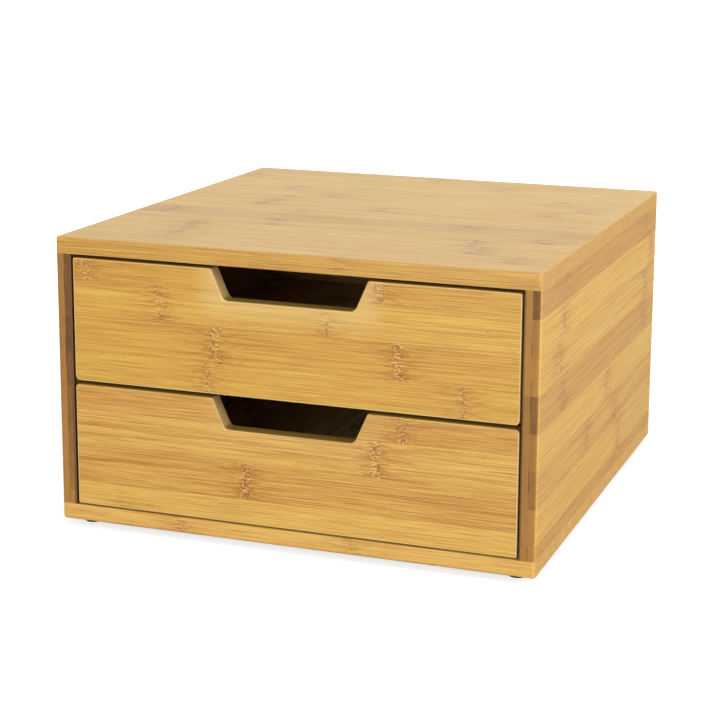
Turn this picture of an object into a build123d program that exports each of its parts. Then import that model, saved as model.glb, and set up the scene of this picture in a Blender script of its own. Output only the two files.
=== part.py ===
from build123d import *
import os

# Two-drawer box of bamboo boards, in millimetres, +Z up.
# The origin is on the ground in the middle of the footprint, and the drawers open towards -Y.

# Case
case_width = 300.0
case_depth = 310.0
total_height = 180.0
board = 10.0  # top, bottom and side boards
corner_radius = 2.5  # upright outer corners, seen from above
edge_radius = 1.5  # sanded outer edges of the top and bottom boards
opening_edge_radius = 0.6  # front edge of each side board, where it meets the opening

# Panel grooves, for the back of the case and the bottoms of the drawers
groove_depth = 4.0
groove_end_clearance = 0.2  # between a panel's edge and the bottom of its groove
groove_face_clearance = 0.1  # on each face of a panel in its groove
back_panel_thickness = 5.0
back_panel_inset = 6.0  # from the back of the case to the panel

# Rubber feet
foot_height = 4.0
foot_diameter = 11.0
foot_inset = 14.0  # centre of a foot from the side and from the front or back
foot_taper = 3.0  # degrees
foot_edge_radius = 0.5
foot_recess_diameter = 6.4
foot_floor = 1.6  # rubber left above the recess, under the screw's head

# Drawer fronts
front_thickness = 10.0
front_recess = 0.5  # from the front of the case to a drawer front
front_edge_radius = 1.0
front_back_edge_radius = 0.6
lower_front_top_corner = 2.5  # the fronts' corners are sanded unevenly
lower_front_bottom_corner = 1.2
upper_front_top_corner = 1.2
upper_front_bottom_corner = 3.0
side_gap = 1.0  # between a drawer and each side board
gap_below_front = 0.8  # between the lower drawer front and the bottom board
gap_between_fronts = 2.1
gap_above_front = 2.1  # between the upper drawer front and the top board

# Finger cut-out in the top edge of each front
notch_top_width = 97.4
notch_bottom_width = 81.0
notch_depth = 18.5
notch_corner_radius = 4.5
notch_lip_radius = 1.2

# Drawer boxes
drawer_wall = 9.0
front_above_wall = 13.0  # from the top of a wall to the top of the front
wall_edge_radius = 1.0
glide_gap = 0.3  # between a drawer and what carries it
drawer_stop_gap = 0.5  # between a closed drawer and the back panel
bottom_panel_thickness = 4.0
bottom_panel_rise = 5.0  # from the lower edge of a drawer wall to the panel

# Runners under the upper drawer and kickers above it
rail_width = 10.0
rail_gap = 0.8  # above a drawer wall
rail_setback = 4.0  # behind the closed drawer front
rail_end_gap = 4.0  # before the back panel
rail_edge_radius = 0.8

# Wooden dowels
dowel_fit = 0.05  # on the radius
dowel_end_room = 0.5  # beyond each end of a dowel
dowel_chamfer = 0.5
case_dowel_diameter = 6.0
case_dowel_length = 22.0
case_dowel_in_board = 6.0
case_dowel_spacing = 84.0
case_dowel_count = 4
drawer_dowel_diameter = 5.0
drawer_dowel_length = 18.0
drawer_dowel_in_face = 5.0
drawer_dowel_low = 17.0  # from the lower edge of a drawer wall
drawer_dowel_from_top = 15.0  # from the top of a drawer wall

# Screws
screw_fit = 0.05  # on the radius
screw_point = 2.0
screw_end_room = 0.5
rail_screw_diameter = 3.5
rail_screw_length = 16.0
rail_screw_head = 6.6
rail_screw_sink = 0.3  # depth of the head below the rail's face
foot_screw_diameter = 2.6
foot_screw_length = 8.5
foot_screw_head = 5.4
foot_screw_head_height = 1.5
foot_screw_head_edge = 0.8
drive_width = 0.7  # each arm of the cross recess
drive_share = 0.6  # of the head's diameter
drive_depth = 1.0

# Heights
floor_top = foot_height + board
ceiling = total_height - board
front_room = ceiling - floor_top - gap_below_front - gap_between_fronts - gap_above_front
front_height = front_room / 2
lower_front_bottom = floor_top + gap_below_front
upper_front_bottom = lower_front_bottom + front_height + gap_between_fronts
wall_below_front = gap_below_front - glide_gap  # a wall's lower edge is this far below the front's
drawer_wall_height = front_height + wall_below_front - front_above_wall
drawer_dowel_high = drawer_wall_height - drawer_dowel_from_top
drawer_dowel_rise = drawer_dowel_high - drawer_dowel_low
drawer_dowel_middle = (drawer_dowel_low + drawer_dowel_high) / 2
upper_wall_bottom = upper_front_bottom - wall_below_front
lower_wall_top = lower_front_bottom - wall_below_front + drawer_wall_height
upper_wall_top = upper_wall_bottom + drawer_wall_height
runner_bottom = lower_wall_top + rail_gap
runner_top = upper_wall_bottom - glide_gap
kicker_bottom = upper_wall_top + rail_gap

# Places across the width, measured from the middle
case_side_x = (case_width - board) / 2
inner_half = case_width / 2 - board
drawer_width = 2 * (inner_half - side_gap)
wall_x = (drawer_width - drawer_wall) / 2
wall_inner_half = drawer_width / 2 - drawer_wall
rail_x = inner_half - rail_width / 2

# Places along the depth
front_face_y = -case_depth / 2 + front_recess
front_back_y = front_face_y + front_thickness
back_panel_front_y = case_depth / 2 - back_panel_inset - back_panel_thickness
drawer_end_y = back_panel_front_y - drawer_stop_gap
drawer_back_y = drawer_end_y - drawer_wall
back_wall_y = drawer_end_y - drawer_wall / 2
rail_front_y = front_back_y + rail_setback
rail_back_y = back_panel_front_y - rail_end_gap
rail_length = rail_back_y - rail_front_y

# Rail screws stand midway between the dowels of the case
rail_screw_spacing = case_dowel_spacing
rail_screw_count = case_dowel_count - 1

# Sizes of what fits in the grooves
back_groove_width = back_panel_thickness + 2 * groove_face_clearance
back_panel_y = back_panel_front_y + back_panel_thickness / 2
back_groove_half = inner_half + groove_depth
back_panel_width = 2 * (back_groove_half - groove_end_clearance)
back_panel_height = ceiling - floor_top + 2 * (groove_depth - groove_end_clearance)
bottom_groove_height = bottom_panel_thickness + 2 * groove_face_clearance
bottom_panel_half = wall_inner_half + groove_depth - groove_end_clearance
case_hole_radius = case_dowel_diameter / 2 + dowel_fit
drawer_hole_radius = drawer_dowel_diameter / 2 + dowel_fit
drawer_face_hole_depth = drawer_dowel_in_face + dowel_end_room
drawer_end_hole_depth = drawer_dowel_length - drawer_dowel_in_face + dowel_end_room

sides = (("left", -1), ("right", 1))
ends = (("front", -1), ("back", 1))
rails = (("runner", runner_bottom, runner_top), ("kicker", kicker_bottom, ceiling))

os.makedirs("parts", exist_ok=True)


def write(piece, name):
    piece.label = name
    export_step(piece, f"parts/{name}.step")


# Bottom board: its lower outer edges are rounded, and dowels and the back panel come in from above.
with BuildPart() as bottom_board:
    with BuildSketch(Plane.XY.offset(foot_height)):
        RectangleRounded(case_width, case_depth, corner_radius)
    extrude(amount=board)
    fillet(bottom_board.faces().sort_by(Axis.Z)[0].edges(), edge_radius)
    with BuildSketch(Plane.XY.offset(floor_top)):
        with Locations((0, back_panel_y)):
            Rectangle(2 * back_groove_half, back_groove_width)
    extrude(amount=-groove_depth, mode=Mode.SUBTRACT)
    with BuildSketch(Plane.XY.offset(floor_top)):
        with GridLocations(2 * case_side_x, case_dowel_spacing, 2, case_dowel_count):
            Circle(case_hole_radius)
    extrude(amount=-(case_dowel_in_board + dowel_end_room), mode=Mode.SUBTRACT)
    with BuildSketch(Plane.XY.offset(foot_height)):
        with GridLocations(case_width - 2 * foot_inset, case_depth - 2 * foot_inset, 2, 2):
            Circle(foot_screw_diameter / 2 + screw_fit)
    extrude(amount=foot_screw_length - foot_floor + screw_end_room, mode=Mode.SUBTRACT)
write(bottom_board.part, "bottom_panel")

# Top board: the same, the other way up, with no feet.
with BuildPart() as top_board:
    with BuildSketch(Plane.XY.offset(ceiling)):
        RectangleRounded(case_width, case_depth, corner_radius)
    extrude(amount=board)
    fillet(top_board.faces().sort_by(Axis.Z)[-1].edges(), edge_radius)
    with BuildSketch(Plane.XY.offset(ceiling)):
        with Locations((0, back_panel_y)):
            Rectangle(2 * back_groove_half, back_groove_width)
    extrude(amount=groove_depth, mode=Mode.SUBTRACT)
    with BuildSketch(Plane.XY.offset(ceiling)):
        with GridLocations(2 * case_side_x, case_dowel_spacing, 2, case_dowel_count):
            Circle(case_hole_radius)
    extrude(amount=case_dowel_in_board + dowel_end_room, mode=Mode.SUBTRACT)
write(top_board.part, "top_panel")

# Side boards, between the bottom and top boards.
for side_name, side in sides:
    outer, inner = (0, -1) if side < 0 else (-1, 0)
    with BuildPart() as side_board:
        with BuildSketch(Plane.XY.offset(floor_top)) as side_plan:
            with Locations((side * case_side_x, 0)):
                Rectangle(board, case_depth)
            fillet(side_plan.vertices().group_by(Axis.X)[outer], corner_radius)
            fillet(side_plan.vertices().group_by(Axis.X)[inner], opening_edge_radius)
        extrude(amount=ceiling - floor_top)
        with BuildSketch(Plane.XY.offset(floor_top)):
            with Locations((side * (inner_half + groove_depth / 2), back_panel_y)):
                Rectangle(groove_depth, back_groove_width)
        extrude(amount=ceiling - floor_top, mode=Mode.SUBTRACT)
        for end_z, inward in ((floor_top, 1), (ceiling, -1)):
            with BuildSketch(Plane.XY.offset(end_z)):
                with Locations((side * case_side_x, 0)):
                    with GridLocations(1, case_dowel_spacing, 1, case_dowel_count):
                        Circle(case_hole_radius)
            hole_depth = case_dowel_length - case_dowel_in_board + dowel_end_room
            extrude(amount=inward * hole_depth, mode=Mode.SUBTRACT)
        for rail_name, rail_bottom, rail_top in rails:
            screw_plane = Plane(
                origin=(side * inner_half, 0, (rail_bottom + rail_top) / 2),
                x_dir=(0, 1, 0),
                z_dir=(side, 0, 0),
            )
            with BuildSketch(screw_plane):
                with GridLocations(rail_screw_spacing, 1, rail_screw_count, 1):
                    Circle(rail_screw_diameter / 2 + screw_fit)
            hole_depth = rail_screw_sink + rail_screw_length - rail_width + screw_end_room
            extrude(amount=hole_depth, mode=Mode.SUBTRACT)
    write(side_board.part, f"{side_name}_side_panel")

# Back panel, with its four edges in the groove.
with BuildPart() as back_board:
    with BuildSketch(Plane.XZ.offset(-back_panel_front_y)):
        with Locations((0, (floor_top + ceiling) / 2)):
            Rectangle(back_panel_width, back_panel_height)
    extrude(amount=-back_panel_thickness)
write(back_board.part, "back_panel")

# Dowels in the four butt joints of the case.
with BuildPart() as case_dowels:
    in_side = case_dowel_length - case_dowel_in_board
    for dowel_bottom in (floor_top - case_dowel_in_board, ceiling - in_side):
        with BuildSketch(Plane.XY.offset(dowel_bottom)):
            with GridLocations(2 * case_side_x, case_dowel_spacing, 2, case_dowel_count):
                Circle(case_dowel_diameter / 2)
        extrude(amount=case_dowel_length)
    chamfer(case_dowels.edges().filter_by(GeomType.CIRCLE), dowel_chamfer)
write(case_dowels.part, "case_dowels")

# Runners carry the upper drawer, and kickers keep it level when it is pulled out.
for rail_name, rail_bottom, rail_top in rails:
    for side_name, side in sides:
        with BuildPart() as rail:
            with BuildSketch(Plane.XZ.offset(-rail_front_y)) as rail_section:
                with Locations((side * rail_x, (rail_bottom + rail_top) / 2)):
                    Rectangle(rail_width, rail_top - rail_bottom)
                free_edge = -1 if side < 0 else 0
                fillet(rail_section.vertices().group_by(Axis.X)[free_edge], rail_edge_radius)
            extrude(amount=-rail_length)
            face_plane = Plane(
                origin=(side * (rail_x - rail_width / 2), 0, (rail_bottom + rail_top) / 2),
                x_dir=(0, 1, 0),
                z_dir=(-side, 0, 0),
            )
            with Locations(face_plane):
                with GridLocations(rail_screw_spacing, 1, rail_screw_count, 1):
                    CounterSinkHole(
                        radius=rail_screw_diameter / 2 + screw_fit,
                        counter_sink_radius=rail_screw_head / 2 + rail_screw_sink + screw_fit,
                        counter_sink_angle=90,
                    )
        write(rail.part, f"{side_name}_{rail_name}")

# One countersunk wood screw, its head at the origin and its point along +Z.
with BuildPart() as wood_screw:
    with BuildSketch(Plane.XZ):
        with BuildLine():
            shank = rail_screw_diameter / 2
            head = rail_screw_head / 2
            Polyline(
                (0, 0),
                (head, 0),
                (shank, head - shank),
                (shank, rail_screw_length - screw_point),
                (0, rail_screw_length),
                close=True,
            )
        make_face()
    revolve(axis=Axis.Z)
    with BuildSketch(Plane.XY):
        for turn in (0, 90):
            Rectangle(drive_share * rail_screw_head, drive_width, rotation=turn)
    extrude(amount=drive_depth, mode=Mode.SUBTRACT)

with BuildPart() as rail_screws:
    for rail_name, rail_bottom, rail_top in rails:
        for side_name, side in sides:
            head_x = side * (rail_x - rail_width / 2 + rail_screw_sink)
            head_plane = Plane(
                origin=(head_x, 0, (rail_bottom + rail_top) / 2),
                x_dir=(0, 1, 0),
                z_dir=(side, 0, 0),
            )
            with Locations(head_plane):
                with GridLocations(rail_screw_spacing, 1, rail_screw_count, 1):
                    add(wood_screw.part)
write(rail_screws.part, "rail_screws")

# Rubber feet, each with a recess for its screw.
for end_name, end in ends:
    for side_name, side in sides:
        foot_place = (side * (case_width / 2 - foot_inset), end * (case_depth / 2 - foot_inset))
        with BuildPart() as foot:
            with BuildSketch(Plane.XY.offset(foot_height)):
                with Locations(foot_place):
                    Circle(foot_diameter / 2)
            extrude(amount=-foot_height, taper=foot_taper)
            fillet(foot.faces().sort_by(Axis.Z)[0].edges(), foot_edge_radius)
            with BuildSketch(Plane.XY):
                with Locations(foot_place):
                    Circle(foot_recess_diameter / 2)
            extrude(amount=foot_height - foot_floor, mode=Mode.SUBTRACT)
            with BuildSketch(Plane.XY):
                with Locations(foot_place):
                    Circle(foot_screw_diameter / 2 + screw_fit)
            extrude(amount=foot_height, mode=Mode.SUBTRACT)
        write(foot.part, f"{end_name}_{side_name}_foot")

# One pan-head screw for a foot, its point along +Z and the seat of its head at the origin.
with BuildPart() as pan_screw:
    with BuildSketch(Plane.XZ):
        with BuildLine():
            shank = foot_screw_diameter / 2
            head = foot_screw_head / 2
            Polyline(
                (0, -foot_screw_head_height),
                (head, -foot_screw_head_height),
                (head, 0),
                (shank, 0),
                (shank, foot_screw_length - screw_point),
                (0, foot_screw_length),
                close=True,
            )
        make_face()
    revolve(axis=Axis.Z)
    fillet(pan_screw.edges().group_by(Axis.Z)[0], foot_screw_head_edge)
    with BuildSketch(Plane.XY.offset(-foot_screw_head_height)):
        for turn in (0, 90):
            Rectangle(drive_share * foot_screw_head, drive_width, rotation=turn)
    extrude(amount=drive_depth, mode=Mode.SUBTRACT)

with BuildPart() as foot_screws:
    with Locations((0, 0, foot_height - foot_floor)):
        with GridLocations(case_width - 2 * foot_inset, case_depth - 2 * foot_inset, 2, 2):
            add(pan_screw.part)
write(foot_screws.part, "foot_screws")


def points_at(outline, axis, low, high):
    tolerance = 0.01
    return outline.vertices().filter_by_position(axis, low - tolerance, high + tolerance)


def drawer_front(drawer, bottom_z, top_corner_radius, bottom_corner_radius):
    top_z = bottom_z + front_height
    notch_floor = top_z - notch_depth
    notch_half = notch_top_width / 2
    with BuildPart() as front:
        with BuildSketch(Plane.XZ.offset(-front_face_y)) as outline:
            with Locations((0, bottom_z + front_height / 2)):
                Rectangle(drawer_width, front_height)
            fillet(outline.vertices().group_by(Axis.Y)[0], bottom_corner_radius)
            fillet(outline.vertices().group_by(Axis.Y)[-1], top_corner_radius)
            with BuildLine():
                Polyline(
                    (-notch_half, top_z),
                    (-notch_bottom_width / 2, notch_floor),
                    (notch_bottom_width / 2, notch_floor),
                    (notch_half, top_z),
                    close=True,
                )
            make_face(mode=Mode.SUBTRACT)
            upper_corners = points_at(outline, Axis.X, -notch_half, notch_half).group_by(Axis.Y)[-1]
            fillet(upper_corners, notch_lip_radius)
            fillet(points_at(outline, Axis.Y, notch_floor, notch_floor), notch_corner_radius)
        extrude(amount=-front_thickness)
        fillet(front.faces().sort_by(Axis.Y)[0].edges(), front_edge_radius)
        fillet(front.faces().sort_by(Axis.Y)[-1].edges(), front_back_edge_radius)
        # groove for the bottom panel, stopped short of both ends
        panel_bottom = bottom_z - wall_below_front + bottom_panel_rise
        with BuildSketch(Plane.XZ.offset(-front_back_y)):
            with Locations((0, panel_bottom + bottom_panel_thickness / 2)):
                Rectangle(2 * (wall_inner_half + groove_depth), bottom_groove_height)
        extrude(amount=groove_depth, mode=Mode.SUBTRACT)
        # dowel holes for the two side walls
        with BuildSketch(Plane.XZ.offset(-front_back_y)):
            with Locations((0, bottom_z - wall_below_front + drawer_dowel_middle)):
                with GridLocations(2 * wall_x, drawer_dowel_rise, 2, 2):
                    Circle(drawer_hole_radius)
        extrude(amount=drawer_face_hole_depth, mode=Mode.SUBTRACT)
    write(front.part, f"{drawer}_drawer_front")


def drawer_side(drawer, wall_bottom, side_name, side):
    with BuildPart() as wall:
        with BuildSketch(Plane.XZ.offset(-front_back_y)) as section:
            with Locations((side * wall_x, wall_bottom + drawer_wall_height / 2)):
                Rectangle(drawer_wall, drawer_wall_height)
            fillet(section.vertices().group_by(Axis.Y)[-1], wall_edge_radius)
            groove_x = side * (wall_inner_half + groove_depth / 2)
            groove_z = wall_bottom + bottom_panel_rise + bottom_panel_thickness / 2
            with Locations((groove_x, groove_z)):
                Rectangle(groove_depth, bottom_groove_height, mode=Mode.SUBTRACT)
        extrude(amount=-(drawer_end_y - front_back_y))
        # dowel holes towards the front
        with BuildSketch(Plane.XZ.offset(-front_back_y)):
            with Locations((side * wall_x, wall_bottom + drawer_dowel_middle)):
                with GridLocations(1, drawer_dowel_rise, 1, 2):
                    Circle(drawer_hole_radius)
        extrude(amount=-drawer_end_hole_depth, mode=Mode.SUBTRACT)
        # dowel holes towards the back wall
        inner_face = Plane(
            origin=(side * wall_inner_half, back_wall_y, wall_bottom + drawer_dowel_middle),
            x_dir=(0, 1, 0),
            z_dir=(side, 0, 0),
        )
        with BuildSketch(inner_face):
            with GridLocations(1, drawer_dowel_rise, 1, 2):
                Circle(drawer_hole_radius)
        extrude(amount=drawer_face_hole_depth, mode=Mode.SUBTRACT)
    write(wall.part, f"{drawer}_drawer_{side_name}_side")


def drawer_back(drawer, wall_bottom):
    with BuildPart() as wall:
        with BuildSketch(Plane.YZ.offset(-wall_inner_half)) as section:
            with Locations((back_wall_y, wall_bottom + drawer_wall_height / 2)):
                Rectangle(drawer_wall, drawer_wall_height)
            fillet(section.vertices().group_by(Axis.Y)[-1], wall_edge_radius)
            groove_z = wall_bottom + bottom_panel_rise + bottom_panel_thickness / 2
            with Locations((drawer_back_y + groove_depth / 2, groove_z)):
                Rectangle(groove_depth, bottom_groove_height, mode=Mode.SUBTRACT)
        extrude(amount=2 * wall_inner_half)
        for _, side in sides:
            end_face = Plane(
                origin=(side * wall_inner_half, back_wall_y, wall_bottom + drawer_dowel_middle),
                x_dir=(0, 1, 0),
                z_dir=(-side, 0, 0),
            )
            with BuildSketch(end_face):
                with GridLocations(1, drawer_dowel_rise, 1, 2):
                    Circle(drawer_hole_radius)
            extrude(amount=drawer_end_hole_depth, mode=Mode.SUBTRACT)
    write(wall.part, f"{drawer}_drawer_back")


def drawer_bottom(drawer, wall_bottom):
    overlap = groove_depth - groove_end_clearance
    panel_front_y = front_back_y - overlap
    panel_back_y = drawer_back_y + overlap
    with BuildPart() as panel:
        with BuildSketch(Plane.XY.offset(wall_bottom + bottom_panel_rise)):
            with Locations((0, (panel_front_y + panel_back_y) / 2)):
                Rectangle(2 * bottom_panel_half, panel_back_y - panel_front_y)
        extrude(amount=bottom_panel_thickness)
    write(panel.part, f"{drawer}_drawer_bottom")


def drawer_dowels(drawer, wall_bottom):
    with BuildPart() as dowels:
        with BuildSketch(Plane.XZ.offset(drawer_dowel_in_face - front_back_y)):
            with Locations((0, wall_bottom + drawer_dowel_middle)):
                with GridLocations(2 * wall_x, drawer_dowel_rise, 2, 2):
                    Circle(drawer_dowel_diameter / 2)
        extrude(amount=-drawer_dowel_length)
        for side_name, side in sides:
            outer_end = Plane(
                origin=(
                    side * (wall_inner_half + drawer_dowel_in_face),
                    back_wall_y,
                    wall_bottom + drawer_dowel_middle,
                ),
                x_dir=(0, 1, 0),
                z_dir=(-side, 0, 0),
            )
            with BuildSketch(outer_end):
                with GridLocations(1, drawer_dowel_rise, 1, 2):
                    Circle(drawer_dowel_diameter / 2)
            extrude(amount=drawer_dowel_length)
        chamfer(dowels.edges().filter_by(GeomType.CIRCLE), dowel_chamfer)
    write(dowels.part, f"{drawer}_drawer_dowels")


# The two drawers differ only in their height and in how far the front's corners are sanded.
drawers = (
    ("lower", lower_front_bottom, lower_front_top_corner, lower_front_bottom_corner),
    ("upper", upper_front_bottom, upper_front_top_corner, upper_front_bottom_corner),
)
for drawer, front_bottom, top_corner_radius, bottom_corner_radius in drawers:
    wall_bottom = front_bottom - wall_below_front
    drawer_front(drawer, front_bottom, top_corner_radius, bottom_corner_radius)
    for side_name, side in sides:
        drawer_side(drawer, wall_bottom, side_name, side)
    drawer_back(drawer, wall_bottom)
    drawer_bottom(drawer, wall_bottom)
    drawer_dowels(drawer, wall_bottom)
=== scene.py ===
"""Looks of a two-drawer bamboo box: bamboo boards, rubber feet, screws, camera and light."""

import math
from types import SimpleNamespace

import bpy
from mathutils import Matrix, Vector


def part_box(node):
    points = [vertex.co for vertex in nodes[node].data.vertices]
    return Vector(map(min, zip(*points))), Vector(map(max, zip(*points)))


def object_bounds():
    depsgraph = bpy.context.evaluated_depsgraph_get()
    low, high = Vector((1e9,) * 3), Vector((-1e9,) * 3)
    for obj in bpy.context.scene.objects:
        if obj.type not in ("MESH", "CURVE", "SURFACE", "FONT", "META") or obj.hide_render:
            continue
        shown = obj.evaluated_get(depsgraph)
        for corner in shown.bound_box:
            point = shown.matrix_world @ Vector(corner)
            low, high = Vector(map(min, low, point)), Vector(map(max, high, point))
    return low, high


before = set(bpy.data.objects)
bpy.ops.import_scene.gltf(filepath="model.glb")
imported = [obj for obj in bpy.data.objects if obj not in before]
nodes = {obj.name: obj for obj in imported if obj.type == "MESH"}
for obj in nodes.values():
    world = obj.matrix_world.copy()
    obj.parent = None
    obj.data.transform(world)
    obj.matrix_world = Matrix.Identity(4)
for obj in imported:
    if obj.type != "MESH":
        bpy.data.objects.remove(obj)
cad_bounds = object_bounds()
bpy.ops.object.select_all(action="DESELECT")

case_low, case_high = cad_bounds
MM = 1000.0  # millimetres in a metre

# Places of the faces that show, in millimetres
case_left = case_low.x * MM
case_right = case_high.x * MM
case_front = case_low.y * MM
case_top = case_high.z * MM
case_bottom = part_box("bottom_panel")[0].z * MM
back_panel_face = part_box("back_panel")[1].y * MM
drawer_front_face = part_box("upper_drawer_front")[0].y * MM


def srgb(red, green, blue):
    """A colour written as it looks on a screen, 0 to 255, turned into a linear colour."""
    channels = []
    for value in (red, green, blue):
        share = value / 255
        channels.append(share / 12.92 if share <= 0.04045 else ((share + 0.055) / 1.055) ** 2.4)
    return (*channels, 1.0)


class Wiring:
    """Short words for adding and joining the nodes of one tree."""

    def __init__(self, tree):
        self.tree = tree

    def node(self, kind, **settings):
        made = self.tree.nodes.new(kind)
        for name, value in settings.items():
            setattr(made, name, value)
        return made

    def feed(self, socket, value):
        if isinstance(value, bpy.types.NodeSocket):
            self.tree.links.new(value, socket)
        else:
            socket.default_value = value

    def math(self, operation, *values):
        made = self.node("ShaderNodeMath", operation=operation)
        for socket, value in zip(made.inputs, values):
            self.feed(socket, value)
        return made.outputs[0]

    def add(self, *values):
        total = values[0]
        for value in values[1:]:
            total = self.math("ADD", total, value)
        return total

    def less(self, first, second):
        return self.math("SUBTRACT", first, second)

    def times(self, *values):
        product = values[0]
        for value in values[1:]:
            product = self.math("MULTIPLY", product, value)
        return product

    def size_of(self, value):
        return self.math("ABSOLUTE", value)

    def step(self, value, low, high):
        """0 at low, 1 at high, smooth between them."""
        made = self.node("ShaderNodeMapRange", interpolation_type="SMOOTHSTEP")
        self.feed(made.inputs["Value"], value)
        self.feed(made.inputs["From Min"], low)
        self.feed(made.inputs["From Max"], high)
        return made.outputs["Result"]

    def spread(self, value, low, high):
        """low at 0, high at 1."""
        made = self.node("ShaderNodeMapRange")
        self.feed(made.inputs["Value"], value)
        self.feed(made.inputs["To Min"], low)
        self.feed(made.inputs["To Max"], high)
        return made.outputs["Result"]

    def between(self, share, first, second):
        """A number on the way from first to second."""
        made = self.node("ShaderNodeMix")
        for number, value in ((0, share), (2, first), (3, second)):
            self.feed(made.inputs[number], value)
        return made.outputs[0]

    def mix(self, share, first, second):
        """A colour on the way from first to second."""
        made = self.node("ShaderNodeMix", data_type="RGBA")
        for number, value in ((0, share), (6, first), (7, second)):
            self.feed(made.inputs[number], value)
        return made.outputs[2]

    def vector(self, x, y, z):
        made = self.node("ShaderNodeCombineXYZ")
        for socket, value in zip(made.inputs, (x, y, z)):
            self.feed(socket, value)
        return made.outputs[0]

    def split(self, vector):
        made = self.node("ShaderNodeSeparateXYZ")
        self.feed(made.inputs[0], vector)
        return made.outputs

    def axes(self, vector):
        return dict(zip("XYZ", self.split(vector)))

    def noise(self, vector, detail=2.0):
        made = self.node("ShaderNodeTexNoise")
        self.feed(made.inputs["Vector"], vector)
        self.feed(made.inputs["Scale"], 1.0)
        self.feed(made.inputs["Detail"], detail)
        return made.outputs["Fac"]

    def marks(self, along, across, lane, size, detail=1.0):
        """Noise whose marks have the given length along the grain and width across it."""
        length, width = size
        x = self.times(along, 1 / length)
        y = self.times(across, 1 / width)
        return self.noise(self.vector(x, y, lane), detail)

    def soft_marks(self, along, across, lane, kind):
        """Marks as a mask: 0 where their noise begins to show, 1 where it shows in full."""
        *size, begins, full = kind
        return self.step(self.marks(along, across, lane, size), begins, full)

    def cells(self, along, across, lane, size):
        """Scattered cells, about one to each stretch of the given length and width."""
        length, width = size
        x = self.times(along, 1 / length)
        y = self.add(self.times(across, 1 / width), lane)
        made = self.node("ShaderNodeTexVoronoi", voronoi_dimensions="2D")
        self.feed(made.inputs["Vector"], self.vector(x, y, 0.0))
        self.feed(made.inputs["Scale"], 1.0)
        return made.outputs

    def group(self, tree, **values):
        """Places a node group; an input's name is written with _ for each space."""
        made = self.node("ShaderNodeGroup", node_tree=tree)
        for name, value in values.items():
            self.feed(made.inputs[name.replace("_", " ")], value)
        return made.outputs

    def bump(self, height, strength, depth):
        made = self.node("ShaderNodeBump")
        made.inputs["Strength"].default_value = strength
        made.inputs["Distance"].default_value = depth / MM
        self.feed(made.inputs["Height"], height)
        return made.outputs[0]


def new_group(name, inputs, outputs):
    """An empty node group: inputs are (name, kind, value), outputs are (name, kind)."""
    tree = bpy.data.node_groups.new(name, "ShaderNodeTree")
    for socket_name, kind, value in inputs:
        socket = tree.interface.new_socket(socket_name, in_out="INPUT", socket_type=kind)
        socket.default_value = value
    for socket_name, kind in outputs:
        tree.interface.new_socket(socket_name, in_out="OUTPUT", socket_type=kind)
    wiring = Wiring(tree)
    return wiring, wiring.node("NodeGroupInput").outputs, wiring.node("NodeGroupOutput").inputs


def new_material(name):
    """A material with its wiring, its shader, and the places and normals of its surface."""
    material = bpy.data.materials.new(name)
    material.use_nodes = True
    wiring = Wiring(material.node_tree)
    where = wiring.node("ShaderNodeTexCoord")
    to_mm = wiring.node("ShaderNodeMapping")
    to_mm.inputs["Scale"].default_value = (MM, MM, MM)
    wiring.feed(to_mm.inputs["Vector"], where.outputs["Object"])
    shader = material.node_tree.nodes["Principled BSDF"]
    return material, wiring, shader, to_mm.outputs[0], where.outputs["Normal"]


NUMBER = "NodeSocketFloat"
COLOUR = "NodeSocketColor"
VECTOR = "NodeSocketVector"

# Colours of the bamboo
PALE_BAMBOO = srgb(224, 181, 94)
DEEP_BAMBOO = srgb(198, 145, 72)
FIBRE_BROWN = srgb(170, 112, 40)
PALE_BUNDLE = srgb(244, 204, 122)
DARK_BUNDLE = srgb(112, 62, 16)
# Pale line on rounded edges: partly wear, partly a painted highlight
WORN_EDGE_AND_HIGHLIGHT = srgb(250, 222, 156)
PALE_NEAR_CUTOUT = srgb(220, 190, 124)
# Narrow sides of the drawer fronts: a dark sawn colour, made darker still as painted shade for the gaps
# and cut-out cheeks
SAWN_AND_SHADED_BAMBOO = srgb(124, 98, 38)
PALE_END = srgb(168, 118, 46)
DEEP_END = srgb(86, 48, 4)

# Boards, in millimetres
STRIP_WIDTH = 21.8  # of most boards
WIDE_STRIP = 22.4
CUTOUT_HALF = 45.0  # about half the mean width of a finger cut-out
CUTOUT_BOX_HALF = 50.5  # half the width of a box round a finger cut-out and its rounded edges
CUTOUT_DEPTH = 18.5
NO_KNOT = 900.0  # off every board

# Marks of the grain: length along the grain and width across it, in millimetres
WANDER = (200.0, 12.0)
SWIRL = (6.0, 2.6)
DRIFT = (160.0, 9.0)
BUNDLE = (1.5, 0.7)
KNOT_BEND = (1.0, 10.0)
KNOT_WAVER = (1.0, 2.0)
END_CLOUD = (4.0, 8.0)
PINHOLE_CELL = (15.0, 9.0)
CUT_BUNDLE_CELL = (0.9, 0.75)

# Marks with a soft edge: length and width as above, then the noise where they begin and are full
CROWD = (60.0, 6.0, 0.36, 0.62)
STREAK = (150.0, 1.2, 0.48, 0.64)
FINE = (90.0, 0.6, 0.47, 0.56)
HAIR = (34.0, 0.42, 0.48, 0.57)
SHORT = (8.0, 1.5, 0.46, 0.54)
OPEN_SEAM = (400.0, 24.0, 0.48, 0.56)
PORE = (5.0, 0.35, 0.5, 0.66)

# Soft limits in millimetres: where something begins to show, and where it shows in full
GLUE_LINE_LIMITS = (0.45, 0.1)  # from the joint between two strips
KNOT_LIMITS = (4.1, 1.7)  # from the middle of a knot
PLY_SEAM_LIMITS = (0.35, 0.12)  # from the joint between two plies
CUTOUT_PALING_LIMITS = (18.0, 0.0)  # from a finger cut-out
INNER_FACE_LIMITS = (8.5, 9.5)  # from a board's outer face
OPENING_SHADE_FULL = 2.0  # from a side board's front end, up to where its painted shade is full
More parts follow.
